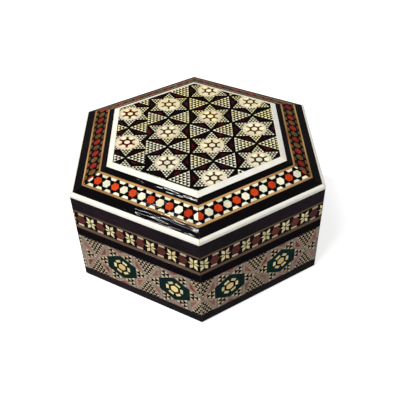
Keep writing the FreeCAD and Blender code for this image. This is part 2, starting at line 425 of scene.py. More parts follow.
@dataclass(frozen=True)
class LacqueredChip:
    """Wood or bone under polished lacquer, in two tones that pass into each other."""

    name: str
    colour: Colour
    second: Colour
    spread: float = 0.16
    flecks: float = 900.0
    patches: float = 60.0
    roughness: float = 0.45
    uneven: float = 0.1
    gloss: float = 0.04
    ripple: float = 0.25
    brushed: bool = False
    # Painted warm light: the second tone grows in this direction, like a warm bounce towards the back.
    painted_warm_light: tuple[float, float, float] | None = None
    varied: Pair | None = None

    def material(self) -> Material:
        """Makes the material: two tones in slow patches, each mottled, and a rippled clear coat.

        Returns:
            The material.
        """
        nodes = FinishNodes(self.name)
        places = nodes.places()
        mottle = nodes.noise(places, self.flecks, detail=4.0)
        factors = (1.0 - self.spread, 1.0, 1.0 + self.spread)
        tones = []
        for colour in (self.colour, self.second):
            shades = [shade(colour, factor) for factor in factors]
            tones.append(nodes.ramp(mottle, MOTTLE_STOPS, shades))
        patches = nodes.noise(places, self.patches, detail=2.0)
        # Painted warm light: the second tone grows along the given direction.
        if self.painted_warm_light:
            patches = nodes.combine("ADD", patches, nodes.reach(self.painted_warm_light))
        colour = nodes.blend(nodes.ramp(patches, PATCH_STOPS, (BLACK, WHITE)), *tones)
        if self.varied:
            colour = nodes.scaled(colour, nodes.span(nodes.attribute(TONE), *self.varied))
        nodes.drive("Base Color", colour)
        low, high = self.roughness - self.uneven, self.roughness + self.uneven
        nodes.drive("Roughness", nodes.span(mottle, low, high))
        Lacquer(self.gloss, self.ripple, self.brushed).coat(nodes)
        return nodes.material


@dataclass(frozen=True)
class GrainedWood:
    """Straight-grained wood, the grain along the box's sides, or along X in a board.

    Pores are the share of their relief that shows and its depth in millimetres.
    """

    name: str
    colour: Colour
    dark: Colour
    board: bool = False
    rings: float = 800.0
    slowness: float = 0.07
    roughness: Pair = (0.62, 0.42)
    light: float = 1.12
    gloss: float = 0.07
    pores: Pair = (0.3, 0.08)

    def material(self) -> Material:
        """Makes the material: streaked grain, and a clear coat or bare pores.

        Returns:
            The material.
        """
        nodes = FinishNodes(self.name)
        slowness = self.slowness
        places = nodes.places((slowness, 1.0, 1.0)) if self.board else nodes.along_sides(slowness)
        streaks = nodes.noise(places, self.rings, detail=5.0)
        colours = (self.dark, self.colour, shade(self.colour, self.light))
        nodes.drive("Base Color", nodes.ramp(streaks, GRAIN_STOPS, colours))
        nodes.drive("Roughness", nodes.span(streaks, *self.roughness))
        if self.gloss:
            Lacquer(self.gloss).coat(nodes)
        else:
            nodes.drive("Normal", nodes.bump(streaks, *self.pores))
        return nodes.material


@dataclass(frozen=True)
class VelvetFinish:
    """Short-piled velvet.

    Relief is the share of the pile that shows and its height in millimetres.
    """

    name: str
    colour: Colour
    sheen: Colour
    patches: float = 70.0
    tones: Pair = (0.65, 1.5)
    pile: float = 3200.0
    pile_relief: Pair = (0.6, 0.2)
    roughness: float = 0.95
    reflection: float = 0.1
    sheen_weight: float = 0.8
    sheen_roughness: float = 0.35

    def material(self) -> Material:
        """Makes the material: brushed patches, pile and a soft sheen.

        Returns:
            The material.
        """
        nodes = FinishNodes(self.name)
        places = nodes.places()
        brushed = nodes.noise(places, self.patches, detail=3.0)
        dark, light = (shade(self.colour, factor) for factor in self.tones)
        colours = (dark, self.colour, light)
        nodes.drive("Base Color", nodes.ramp(brushed, GRAIN_STOPS, colours))
        nodes.set(Roughness=self.roughness, Specular_IOR_Level=self.reflection)
        nodes.set(Sheen_Weight=self.sheen_weight, Sheen_Roughness=self.sheen_roughness,
                  Sheen_Tint=(*self.sheen, 1.0))
        pile = nodes.noise(places, self.pile, detail=2.0)
        nodes.drive("Normal", nodes.bump(pile, *self.pile_relief))
        return nodes.material


@dataclass(frozen=True)
class BrassFinish:
    """Small pressed brass, slightly tarnished.

    Relief is the share of the scratches that shows and their depth in millimetres.
    """

    name: str
    colour: Colour
    tarnish: Colour
    patches: float = 240.0
    roughness: Pair = (0.42, 0.22)
    scratches: float = 600.0
    scratch_stretch: tuple[float, float, float] = (1.0, 14.0, 14.0)
    scratch_relief: Pair = (0.2, 0.05)

    def material(self) -> Material:
        """Makes the material: metal with tarnish in patches and fine scratches.

        Returns:
            The material.
        """
        nodes = FinishNodes(self.name)
        patches = nodes.noise(nodes.places(), self.patches, detail=5.0)
        nodes.drive("Base Color", nodes.ramp(patches, TARNISH_STOPS, (self.tarnish, self.colour)))
        nodes.set(Metallic=1.0)
        nodes.drive("Roughness", nodes.span(patches, *self.roughness))
        scratches = nodes.noise(nodes.places(self.scratch_stretch), self.scratches, detail=3.0)
        nodes.drive("Normal", nodes.bump(scratches, *self.scratch_relief))
        return nodes.material


class Palette:
    """Every material of the box, made once."""

    chip_tones: Pair = (0.84, 1.07)

    def __init__(self) -> None:
        """Makes the inlay chips, strips, core wood, velvet and brass."""
        chips = self.chip_finishes()
        self.chips = [replace(chips[chip], varied=self.chip_tones).material() for chip in Chip]
        self.strips = {slot: finish.material() for slot, finish in self.strip_finishes().items()}
        self.edges = {slot: finish.material() for slot, finish in self.edge_finishes().items()}
        self.board = GrainedWood("core_board_planed", (0.40, 0.23, 0.11), (0.25, 0.13, 0.055),
                                 board=True, gloss=0.0).material()
        self.deep_ebony = LacqueredChip("deep_ebony_strip", (0.0016, 0.001, 0.0014),
                                        (0.003, 0.002, 0.003), 0.35, 500.0,
                                        gloss=0.075, ripple=0.5, brushed=True).material()
        # The box's top border takes this darker, duller black: painted shade under the lid's lower edge.
        self.seam_shade_ebony = LacqueredChip("seam_shade_ebony_strip", (0.003, 0.002, 0.003),
                                        (0.005, 0.003, 0.005), 0.35, 500.0,
                                        gloss=0.02, brushed=True).material()
        self.velvet = VelvetFinish("velvet_lining", (0.16, 0.004, 0.012), (0.75, 0.25, 0.28)).material()
        self.brass = BrassFinish("hinge_brass_worn", (0.80, 0.56, 0.22), (0.56, 0.37, 0.13)).material()

    def chip_finishes(self) -> dict[Chip, LacqueredChip]:
        """Finish of each chip of the inlay.

        Returns:
            The finishes.
        """
        return {
            Chip.EBONY: LacqueredChip("ebony_chip", (0.0016, 0.001, 0.0013), (0.004, 0.0015, 0.002), 0.3),
            # Bone turns yellower towards the back-left: painted warm bounce light.
            Chip.BONE: LacqueredChip("bone_chip", (0.86, 0.83, 0.62), (0.93, 0.81, 0.39), 0.16,
                                     patches=110.0, painted_warm_light=(-3.2, 5.5, 0.0)),
            Chip.CREAM: LacqueredChip("cream_chip", (0.86, 0.77, 0.43), (0.75, 0.64, 0.33), 0.18),
            Chip.RED: LacqueredChip("red_chip", (0.080, 0.004, 0.007), (0.003, 0.001, 0.0015), 0.3,
                                    patches=190.0),
            Chip.ORANGE: LacqueredChip("orange_chip", (0.60, 0.060, 0.012), (0.50, 0.040, 0.008), 0.2),
            Chip.MAROON: LacqueredChip("maroon_chip", (0.16, 0.040, 0.026), (0.095, 0.022, 0.022), 0.3),
            Chip.GREEN: LacqueredChip("green_chip", (0.001, 0.022, 0.017), (0.002, 0.012, 0.012), 0.3),
            Chip.SALMON: LacqueredChip("salmon_chip", (0.22, 0.060, 0.045), (0.32, 0.14, 0.11), 0.25),
            Chip.PINK: LacqueredChip("pink_chip", (0.36, 0.25, 0.20), (0.32, 0.255, 0.20), 0.26),
            Chip.GOLD: LacqueredChip("gold_chip", (0.85, 0.50, 0.16), (0.85, 0.66, 0.30), 0.18),
            Chip.BEIGE: LacqueredChip("beige_chip", (0.30, 0.253, 0.203), (0.235, 0.19, 0.163), 0.34),
            Chip.PALE: LacqueredChip("pale_chip", (0.60, 0.46, 0.29), (0.60, 0.49, 0.33), 0.18),
            Chip.BROWN: LacqueredChip("brown_chip", (0.13, 0.036, 0.009), (0.09, 0.022, 0.007), 0.25),
            Chip.BRICK: LacqueredChip("brick_chip", (0.30, 0.028, 0.010), (0.20, 0.018, 0.008), 0.25),
            # Painted shade: darker copies of bone and orange for the dimmer bevels.
            Chip.AGED: LacqueredChip("shaded_bone_chip", (0.17, 0.092, 0.030), (0.10, 0.060, 0.020), 0.3,
                                     patches=150.0),
            Chip.RUST: LacqueredChip("shaded_orange_chip", (0.36, 0.032, 0.016), (0.26, 0.020, 0.016), 0.25),
            Chip.IVORY: LacqueredChip("ivory_chip", (0.76, 0.67, 0.48), (0.70, 0.59, 0.39), 0.2),
        }

    def strip_finishes(self) -> dict[str, LacqueredChip | GrainedWood]:
        """Finish of each material slot of the strips and the core.

        Returns:
            The finishes.
        """
        return {
            # This black is a lighter purple grey than the chips' ebony: painted sheen, for the floor's
            # reflection on the upright sides.
            "ebony": LacqueredChip("ebony_strip", (0.013, 0.0065, 0.0105), (0.006, 0.004, 0.006),
                                   0.35, 500.0, gloss=0.06, ripple=0.5, brushed=True),
            "bone_line": LacqueredChip("bone_strip", (0.88, 0.86, 0.78), (0.88, 0.84, 0.73), 0.05, 350.0),
            "orange_wood_line": GrainedWood("orange_wood_strip", (0.56, 0.32, 0.12), (0.24, 0.11, 0.03)),
            "brown_wood_line": GrainedWood("brown_wood_strip", (0.16, 0.10, 0.065), (0.08, 0.045, 0.03)),
            "core_wood": GrainedWood("core_wood_planed", (0.40, 0.23, 0.11), (0.25, 0.13, 0.055),
                                     gloss=0.0),
        }

    def edge_finishes(self) -> dict[str, LacqueredChip | GrainedWood]:
        """Finish of the worn edges of each of those slots.

        Returns:
            The finishes.
        """
        return {
            "ebony": LacqueredChip("ebony_edge", (0.030, 0.018, 0.016), (0.014, 0.009, 0.010), 0.35, 500.0),
            "bone_line": LacqueredChip("bone_edge", (0.60, 0.53, 0.40), (0.46, 0.38, 0.26), 0.2, 500.0),
            "orange_wood_line": GrainedWood("orange_wood_edge", (0.26, 0.13, 0.05), (0.12, 0.05, 0.015)),
            "brown_wood_line": GrainedWood("brown_wood_edge", (0.07, 0.042, 0.028), (0.04, 0.02, 0.012)),
            "core_wood": GrainedWood("core_wood_edge", (0.47, 0.29, 0.15), (0.33, 0.19, 0.09), gloss=0.0),
        }


# Bench tools

def pick(*pieces: Object) -> None:
    """Selects these pieces alone, the first one active.

    Args:
        *pieces: Pieces to select.
    """
    bpy.ops.object.select_all(action="DESELECT")
    for piece in pieces:
        piece.select_set(True)
    bpy.context.view_layer.objects.active = pieces[0]


@contextmanager
def editing(piece: Object, faces: FaceTest | None = None) -> Iterator[None]:
    """Opens a piece in edit mode with some of its faces selected.

    Args:
        piece: Piece to edit.
        faces: Test of the faces to select, or None for all of them.
    """
    pick(piece)
    bpy.ops.object.mode_set(mode="EDIT")
    bpy.ops.mesh.select_mode(type="FACE")
    bpy.ops.mesh.select_all(action="DESELECT" if faces else "SELECT")
    if faces:
        bpy.ops.object.mode_set(mode="OBJECT")
        for polygon in piece.data.polygons:
            polygon.select = faces(polygon)
        bpy.ops.object.mode_set(mode="EDIT")
    yield
    bpy.ops.object.mode_set(mode="OBJECT")


def paint(piece: Object, chip: Chip, faces: FaceTest | None = None) -> None:
    """Gives faces of a piece the material of a chip.

    Args:
        piece: Inlay piece.
        chip: Chip whose slot the faces take.
        faces: Test of the faces, or None for all of them.
    """
    for polygon in piece.data.polygons:
        if faces is None or faces(polygon):
            polygon.material_index = chip.value


def tone(piece: Object, tones: Sequence[float]) -> None:
    """Gives each face of a piece a tone of its own, from 0, dark, to 1, light."""
    piece.data.attributes.new(TONE, "FLOAT", "FACE").data.foreach_set("value", tones)


def merge(pieces: Sequence[Object], name: str) -> Object:
    """Joins pieces into one.

    Args:
        pieces: Pieces to join, the first of which is kept.
        name: Name of the joined piece.

    Returns:
        The joined piece.
    """
    pick(*pieces)
    bpy.ops.object.join()
    pieces[0].name = pieces[0].data.name = name
    return pieces[0]


def copy_to(piece: Object, place: Matrix) -> Object:
    """Copies a piece, with a mesh of its own, to another place.

    Args:
        piece: Piece to copy.
        place: Where the copy's mesh goes.

    Returns:
        The copy.
    """
    copy = piece.copy()
    copy.data = piece.data.copy()
    copy.data.transform(place)
    bpy.context.scene.collection.objects.link(copy)
    return copy


def discard(*pieces: Object) -> None:
    """Removes pieces that were only patterns for copies."""
    for piece in pieces:
        bpy.data.objects.remove(piece)


def apply_modifier(piece: Object, kind: str, **settings: object) -> None:
    """Adds a modifier with settings and applies it.

    Args:
        piece: Piece to change.
        kind: Type of the modifier.
        **settings: Its properties.
    """
    pick(piece)
    modifier = piece.modifiers.new(kind.lower(), kind)
    for name, value in settings.items():
        setattr(modifier, name, value)
    bpy.ops.object.modifier_apply(modifier=modifier.name)


def flatten(piece: Object) -> None:
    """Brings the points of a flat piece back into its plane."""
    piece.data.transform(Matrix.Scale(0.0, 4, (0.0, 0.0, 1.0)))


def cut_back(piece: Object, point: Place, outward: Pair) -> None:
    """Cuts off all of a flat piece that lies beyond a line.

    Args:
        piece: Piece to cut.
        point: A point of the line.
        outward: The line's normal, towards what is removed.
    """
    with editing(piece):
        bpy.ops.mesh.bisect(plane_co=(*point, 0.0), plane_no=(*outward, 0.0), clear_outer=True)


def loose_copy(node: str, name: str, *materials: Material) -> Object:
    """A copy of a solid, free of its body, to be worked on.

    Args:
        node: Solid to copy.
        name: Name of the copy.
        *materials: The copy's material slots.

    Returns:
        The copy.
    """
    piece = copy_to(bpy.data.objects[node], Matrix.Identity(4))
    piece.parent = None
    for key in list(piece.keys()):
        del piece[key]
    piece.name = piece.data.name = name
    piece.data.materials.clear()
    for material in materials:
        piece.data.materials.append(material)
    return piece


def normal_of(side: int, rise: float = 0.0) -> Vector:
    """Outward normal of a side, or of its bevel, which looks up by an angle."""
    angle = side * TURN - math.pi / 2
    return Vector((math.cos(angle) * math.cos(rise), math.sin(angle) * math.cos(rise), math.sin(rise)))


def side_of(point: Vector) -> int:
    """Number of the side that a point lies towards."""
    return max(range(len(SIDES)), key=lambda side: point.dot(normal_of(side)))


def bar_of(node: str, side: int, *materials: Material) -> Object:
    """A copy of one bar of a ring that runs round the box, mitred at its ends.

    Args:
        node: The ring's solids.
        side: Number of the bar's side.
        *materials: The bar's material slots.

    Returns:
        The bar, apart from the others.
    """
    bar = loose_copy(node, f"{node}_{SIDES[side]}", *materials)
    with editing(bar, lambda face: side_of(face.center - face.normal * HAIR) != side):
        bpy.ops.mesh.delete(type="FACE")
    return bar


def pieces_of(node: str, ring: bool, *materials: Material) -> list[Object]:
    """Welded copies of a node's solids, to be worked on.

    Args:
        node: The node.
        ring: Whether it is a ring of bars, which come apart, or one piece.
        *materials: The copies' material slots.

    Returns:
        The copies.
    """
    if ring:
        pieces = [bar_of(node, side, *materials) for side in range(len(SIDES))]
    else:
        pieces = [loose_copy(node, node, *materials)]
    for piece in pieces:
        weld(piece)
    return pieces


def weld(piece: Object) -> None:
    """Joins the loose faces of a solid's copy, and those that lie in one plane.

    Args:
        piece: The copy.
    """
    with editing(piece):
        bpy.ops.mesh.remove_doubles(threshold=WELD)
        bpy.ops.mesh.dissolve_limited(angle_limit=FLAT)


def smooth_over(piece: Object, angle: float) -> None:
    """Shades faces as one where they turn by less than an angle in degrees."""
    pick(piece)
    bpy.ops.object.shade_smooth_by_angle(angle=math.radians(angle))


def ease(piece: Object, width: float, segments: int, angle: float) -> None:
    """Rounds a welded piece's edges, in its last material slot's finish.

    Args:
        piece: Piece to round.
        width: Width of the rounding, in millimetres.
        segments: Faces across it.
        angle: Angle up to which faces are shaded as one, in degrees.
    """
    last = len(piece.data.materials) - 1
    apply_modifier(piece, "BEVEL", width=width * MM, segments=segments, limit_method="ANGLE", material=last)
    with editing(piece):
        bpy.ops.mesh.dissolve_degenerate(threshold=WELD)
    smooth_over(piece, angle)


def install(piece: Object, body: str, slot: str, *nodes: str) -> None:
    """Hands a finished piece over to the frame.

    Args:
        piece: Piece, in place.
        body: Body that carries it.
        slot: Material slot of the record; not used.
        *nodes: Solids that it takes the place of.
    """
    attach(piece, body)
    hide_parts(*nodes)
    LOG.info("%s: %d faces", piece.name, len(piece.data.polygons))


# Inlay motifs, drawn flat in millimetres about their own centre, with +Y up the face

class Marquetry:
    """Cuts the chips and units of the inlay."""

    notch_seed: int = 3

    def __init__(self, palette: Palette, wobble: float = 0.09) -> None:
        """Keeps the chips' materials.

        Args:
            palette: Materials of the box.
            wobble: How far the corners of small chips stray, as a share of the chips' sides.
        """
        self.palette = palette
        self.wobble = wobble

    def fit(self, piece: Object, chip: Chip) -> Object:
        """Gives a new flat piece the slots of every chip and the material of one.

        Args:
            piece: Piece to paint.
            chip: What it is cut from.

        Returns:
            The piece.
        """
        for material in self.palette.chips:
            piece.data.materials.append(material)
        paint(piece, chip)
        return piece

    def polygon(self, corners: int, radius: float, chip: Chip, turn: float = 0.0,
                stretch: Pair = (1.0, 1.0)) -> Object:
        """A flat chip with equal sides, one corner towards +Y before it is turned.

        Args:
            corners: Number of corners.
            radius: Centre to corner.
            chip: What it is cut from.
            turn: Turn to the left, in degrees.
            stretch: Scale along X and Y, after the turn.

        Returns:
            The chip.
        """
        bpy.ops.object.select_all(action="DESELECT")
        bpy.ops.mesh.primitive_circle_add(vertices=corners, radius=radius, fill_type="NGON")
        piece = bpy.context.active_object
        turned = Matrix.Rotation(math.radians(turn), 4, "Z")
        piece.data.transform(Matrix.Diagonal((*stretch, 1.0, 1.0)) @ turned)
        return self.fit(piece, chip)

    def bar(self, length: float, width: float, chip: Chip) -> Object:
        """A flat rod along X.

        Args:
            length: Its length.
            width: Its width.
            chip: What it is cut from.

        Returns:
            The rod.
        """
        bpy.ops.object.select_all(action="DESELECT")
        bpy.ops.mesh.primitive_plane_add(size=1.0)
        piece = bpy.context.active_object
        piece.data.transform(Matrix.Diagonal((length, width, 1.0, 1.0)))
        return self.fit(piece, chip)

    def triangle(self, side: float, rows: int, chip: Chip, joint: float, turn: float = 0.0) -> Object:
        """An ebony triangle of small triangles, those that point the same way cut from another chip.

        Args:
            side: Length of the triangle's sides.
            rows: Rows of small triangles.
            chip: What the small triangles are cut from.
            joint: Width of the ebony that is left round each of them.
            turn: Turn to the left from one corner towards +Y, in degrees.

        Returns:
            The triangle.
        """
        piece = self.polygon(3, side / math.sqrt(3.0), Chip.EBONY)
        with editing(piece):
            bpy.ops.mesh.subdivide(number_cuts=rows - 1)
            bpy.ops.transform.vertex_random(offset=side / rows * self.wobble, seed=rows)
        flatten(piece)
        heights = [vertex.co.y for vertex in piece.data.vertices]

        def is_chip(face: MeshPolygon) -> bool:
            """Whether a small triangle has one corner above its middle, as the whole one has."""
            return sum(heights[corner] > face.center.y for corner in face.vertices) == 1

        with editing(piece, is_chip):
            bpy.ops.mesh.inset(thickness=joint, use_individual=True)
        paint(piece, chip, lambda face: face.select)
        piece.data.transform(Matrix.Rotation(math.radians(turn), 4, "Z"))
        return piece

    def sink(self, piece: Object, layers: int) -> Object:
        """Sets a chip a hair lower, so that others can lie on it.

        Args:
            piece: Chip to lower.
            layers: Number of layers that lie above it.

        Returns:
            The chip.
        """
        piece.data.transform(Matrix.Translation((0.0, 0.0, -LAYER * layers)))
        return piece

    def notch(self, length: float, rim: Chip | None, core: Chip, width: float, stray: float) -> Object:
        """The blunt triangle between two points of a star, its long side at the top.

        Args:
            length: Long side.
            rim: Chip round its edge, or None to leave the ground bare there.
            core: Chip in its middle.
            width: Width of the rim.
            stray: How far the core's corners stray.

        Returns:
            The triangle, with the middle of its long side at the origin.
        """
        piece = self.polygon(3, length / math.sqrt(3.0), rim or Chip.EBONY, turn=180.0)
        piece.data.transform(Matrix.Translation((0.0, -length / math.sqrt(12.0), 0.0)))
        piece.data.transform(Matrix.Scale(1.0 / 3.0, 4, (0.0, 1.0, 0.0)))
        with editing(piece):
            bpy.ops.mesh.inset(thickness=width)
            bpy.ops.transform.vertex_random(offset=stray, seed=self.notch_seed)
        flatten(piece)
        paint(piece, core, lambda face: face.select)
        if rim is None:
            with editing(piece, lambda face: face.material_index != core.value):
                bpy.ops.mesh.delete(type="FACE")
        return piece

    def around(self, piece: Object, distance: float, first: float) -> list[Object]:
        """Six copies of a piece round the origin, each with its +Y outwards, and removes the piece.

        Args:
            piece: Pattern to copy.
            distance: Centre to the pattern's origin.
            first: Direction of the first copy, in degrees.

        Returns:
            The copies.
        """
        copies = []
        for number in range(6):
            turn = Matrix.Rotation(math.radians(first - 90.0) + number * TURN, 4, "Z")
            copies.append(copy_to(piece, turn @ Matrix.Translation((0.0, distance, 0.0))))
        discard(piece)
        return copies

    def spread(self, motif: Object, places: Sequence[Place]) -> list[Object]:
        """Copies of a motif at places on the face, and removes the motif.

        Args:
            motif: Pattern to copy.
            places: Where the copies go.

        Returns:
            The copies.
        """
        copies = [copy_to(motif, Matrix.Translation((*place, 0.0))) for place in places]
        discard(motif)
        return copies


def row(spacing: float, start: float, half_length: float) -> list[Place]:
    """Places along a strip, from one end to the other.

    Args:
        spacing: Distance from place to place.
        start: One of the places.
        half_length: Half the strip's length.

    Returns:
        The places.
    """
    count = math.ceil(half_length / spacing) + 1
    return [(start + number * spacing, 0.0) for number in range(-count, count + 1)]


def shifted(places: Sequence[Place], along: float, up: float) -> list[Place]:
    """Places moved along and up the face."""
    return [(x + along, y + up) for x, y in places]


def end_cuts(reach: float, normal: Pair = (1.0, 0.0)) -> list[Cut]:
    """Cuts across both ends of a strip, with the normal of the one at +X."""
    return [((sign * reach, 0.0), (sign * normal[0], normal[1])) for sign in BOTH]


def edge_cuts(reach: float) -> list[Cut]:
    """Cuts along both edges of a strip."""
    return [((0.0, sign * reach), (0.0, sign)) for sign in BOTH]


@dataclass
class InlayPanel:
    """One inlaid piece: its chips, cut to its outline and bedded in a copy of its solid."""

    node: str
    body: str
    slot: str
    ground: Chip
    outline: Sequence[Cut]
    place: Matrix
    outward: Vector
    hexagons: Sequence[str] = ()
    depth: float = 0.3
    recess: float = 0.03
    facing: float = 0.99
    ground_tone: float = 0.5

    def bed(self, palette: Palette) -> Object:
        """The panel's ground: its solid with the face sunk a little below the chips.

        Args:
            palette: Materials of the box.

        Returns:
            The ground.
        """
        bed = loose_copy(self.node, self.node + "_bed", *palette.chips)
        with editing(bed):
            bpy.ops.mesh.remove_doubles(threshold=WELD)
        with editing(bed, lambda face: face.normal.dot(self.outward) > self.facing):
            bpy.ops.transform.translate(value=self.outward * (-self.recess * MM))
        paint(bed, self.ground)
        tone(bed, [self.ground_tone] * len(bed.data.polygons))
        return bed

    def build(self, palette: Palette, motifs: Sequence[Object]) -> None:
        """Cuts the motifs to the outline, gives them their thickness and sets them in the bed.

        Args:
            palette: Materials of the box.
            motifs: Flat chips in millimetres, which are used up.
        """
        chips = merge(motifs, self.node + "_chips")
        draw = random.Random(self.node)
        tone(chips, [draw.random() for _ in chips.data.polygons])
        for point, outward in self.outline:
            cut_back(chips, point, outward)
        apply_modifier(chips, "SOLIDIFY", thickness=self.depth, offset=-1.0, use_even_offset=False)
        chips.data.transform(self.place @ Matrix.Scale(MM, 4))
        piece = merge([self.bed(palette), chips], self.node + "_inlay")
        install(piece, self.body, self.slot, self.node, *self.hexagons)


@dataclass
class BoxShape:
    """Sizes of the box in millimetres, read from its solids."""

    apothem: float
    slope: float
    bevel_low: Vector
    bevel_high: Vector

    @classmethod
    def from_frame(cls) -> BoxShape:
        """Measures the front side and the front bevel.

        Returns:
            The sizes.
        """
        low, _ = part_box("box_inlay_front")
        strip = bpy.data.objects["bevel_inlay_front"].data
        face = max(strip.polygons, key=lambda polygon: polygon.normal.z * polygon.area)
        heights = [vertex.co.dot(face.normal) for vertex in strip.vertices]
        level = max(heights) - LEVEL
        top = [vertex.co / MM for vertex, height in zip(strip.vertices, heights) if height > level]
        return cls(apothem=-low.y / MM, slope=math.atan2(-face.normal.y, face.normal.z),
                   bevel_low=min(top, key=lambda point: point.z),
                   bevel_high=max(top, key=lambda point: point.z))

    def front_size(self, node: str) -> tuple[float, float, float]:
        """Half length, half height and middle height of a panel on the front."""
        low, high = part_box(node)
        return high.x / MM, (high.z - low.z) / 2.0 / MM, (low.z + high.z) / 2.0 / MM

    def upright(self, side: int, height: float) -> Matrix:
        """Placement of a drawing on a side's face, centred at a height.

        Args:
            side: Number of the side.
            height: Height of the drawing's centre.

        Returns:
            The placement, in metres.
        """
        turn = Matrix.Rotation(side * TURN, 4, "Z")
        centre = Vector((0.0, -self.apothem * MM, height * MM))
        return turn @ Matrix.Translation(centre) @ Matrix.Rotation(math.pi / 2, 4, "X")

    def on_bevel(self, side: int) -> Matrix:
        """Placement of a drawing on a bevel's inlay strip, centred on the strip.

        Args:
            side: Number of the side.

        Returns:
            The placement, in metres.
        """
        turn = Matrix.Rotation(side * TURN, 4, "Z")
        middle = (self.bevel_low + self.bevel_high) / 2.0
        centre = Vector((0.0, middle.y, middle.z)) * MM
        return turn @ Matrix.Translation(centre) @ Matrix.Rotation(self.slope, 4, "X")


# The inlaid panels

@dataclass(frozen=True)
class Rosette:
    """Sizes of a flower in the middle of a star, and the chip that parts its petals."""

    line: Chip
    width: float
    centre: float
    petal: float
    distance: float


@dataclass
class StarPanel:
    """The flat top: stars with rosettes, and dotted triangles between them."""

    marquetry: Marquetry
    spacing: float = 18.0
    first_star: Place = (5.6, 9.3)
    columns: range = range(-3, 3)
    rows: range = range(-4, 5)
    star_share: float = 0.9
    point_share: float = 0.95
    point_rows: int = 4
    point_joint: float = 0.05
    triangle_share: float = 0.92
    triangle_rows: int = 6
    triangle_joint: float = 0.045
    flower_share: float = 0.985
    ground_share: float = 0.95
    ground_corners: int = 12
    spoke_share: float = 0.8
    main_rosette: Rosette = Rosette(Chip.BROWN, 0.85, 1.16, 0.93, 2.62)
    slipped_rosette: Rosette = Rosette(Chip.BRICK, 1.1, 1.08, 0.82, 2.68)
    notch_rim: float = 0.7
    notch_stray: float = 0.2
    seam: float = -17.6
    slip: Pair = (1.2, 3.4)
    margin: float = 0.06
    turn: float = math.radians(30.0)

    def flower(self, radius: float, sizes: Rosette) -> list[Object]:
        """A bone flower in an ivory ground: its centre and six petals, parted by thin lines.

        Args:
            radius: Centre to corner of the ground.
            sizes: The flower's sizes.

        Returns:
            Its chips.
        """
        cut = self.marquetry
        corners = self.ground_corners
        ground = cut.polygon(corners, radius * self.ground_share, Chip.IVORY, turn=180.0 / corners)
        ring = cut.sink(cut.polygon(6, sizes.centre + sizes.width, sizes.line), 1)
        spoke = cut.sink(cut.bar(sizes.width * self.spoke_share, sizes.distance, sizes.line), 1)
        spokes = cut.around(spoke, sizes.distance / 2.0 + sizes.centre / 2.0, 30.0)
        petals = cut.around(cut.polygon(6, sizes.petal, Chip.BONE, turn=30.0), sizes.distance, 0.0)
        centre = cut.polygon(6, sizes.centre, Chip.BONE)
        return [cut.sink(ground, 2), ring, *spokes, *petals, centre]

    def star(self, sizes: Rosette) -> list[Object]:
        """One star: flower, six dotted points and six dark red notches.

        Args:
            sizes: The flower's sizes.

        Returns:
            Its chips.
        """
        cut = self.marquetry
        half = self.spacing / 2.0
        inner = half * self.star_share / math.sqrt(3.0)
        point = cut.triangle(inner * self.point_share, self.point_rows, Chip.BONE, self.point_joint)
        points = cut.around(point, inner * HALF_ROOT3 * 4.0 / 3.0, 90.0)
        notch = cut.notch(half, None, Chip.RED, self.notch_rim, self.notch_stray)
        notches = cut.around(notch, half * HALF_ROOT3, 60.0)
        return [*self.flower(inner * self.flower_share, sizes), *points, *notches]

    def unit(self, sizes: Rosette) -> Object:
        """A star with the two dotted triangles that repeat with it.

        Args:
            sizes: The flower's sizes.

        Returns:
            The star, as one piece.
        """
        side = self.spacing / 2.0
        triangles = []
        for sign in BOTH:
            triangle = self.marquetry.triangle(side * self.triangle_share, self.triangle_rows, Chip.BONE,
                                               self.triangle_joint, turn=sign * 90.0)
            triangle.data.transform(Matrix.Translation((sign * side * HALF_ROOT3 * 2.0 / 3.0, side, 0.0)))
            triangles.append(triangle)
        return merge([*self.star(sizes), *triangles], "star_unit")

    def places(self, shift: Pair) -> list[Place]:
        """Star centres that cover the panel.

        Args:
            shift: Offset of the lattice.

        Returns:
            The centres.
        """
        found = []
        for column in self.columns:
            for number in self.rows:
                x = self.first_star[0] + column * self.spacing * HALF_ROOT3
                y = self.first_star[1] + (number + 0.5 * (column % 2)) * self.spacing
                found.append((x + shift[0], y + shift[1]))
        return found

    def build(self) -> None:
        """Lays two lattices, one each side of the seam, and sets them in the lid."""
        _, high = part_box("lid_star_panel")
        flat = high.y / MM - self.margin
        cut = self.marquetry
        main_stars = cut.spread(self.unit(self.main_rosette), self.places((0.0, 0.0)))
        main = merge(main_stars, "main_slice")
        slipped_stars = cut.spread(self.unit(self.slipped_rosette), self.places(self.slip))
        slipped = merge(slipped_stars, "slipped_slice")
        cut_back(main, (self.seam, 0.0), (-1.0, 0.0))
        cut_back(slipped, (self.seam, 0.0), (1.0, 0.0))
        outline = []
        for number in range(len(SIDES)):
            outward = (math.cos(number * TURN), math.sin(number * TURN))
            outline.append(((outward[0] * flat, outward[1] * flat), outward))
        place = Matrix.Translation((0.0, 0.0, high.z)) @ Matrix.Rotation(self.turn, 4, "Z")
        panel = InlayPanel("lid_star_panel", "lid", "star_inlay", Chip.EBONY, outline, place,
                           Vector((0.0, 0.0, 1.0)), ("lid_star_hexagons",))
        panel.build(cut.palette, [main, slipped])


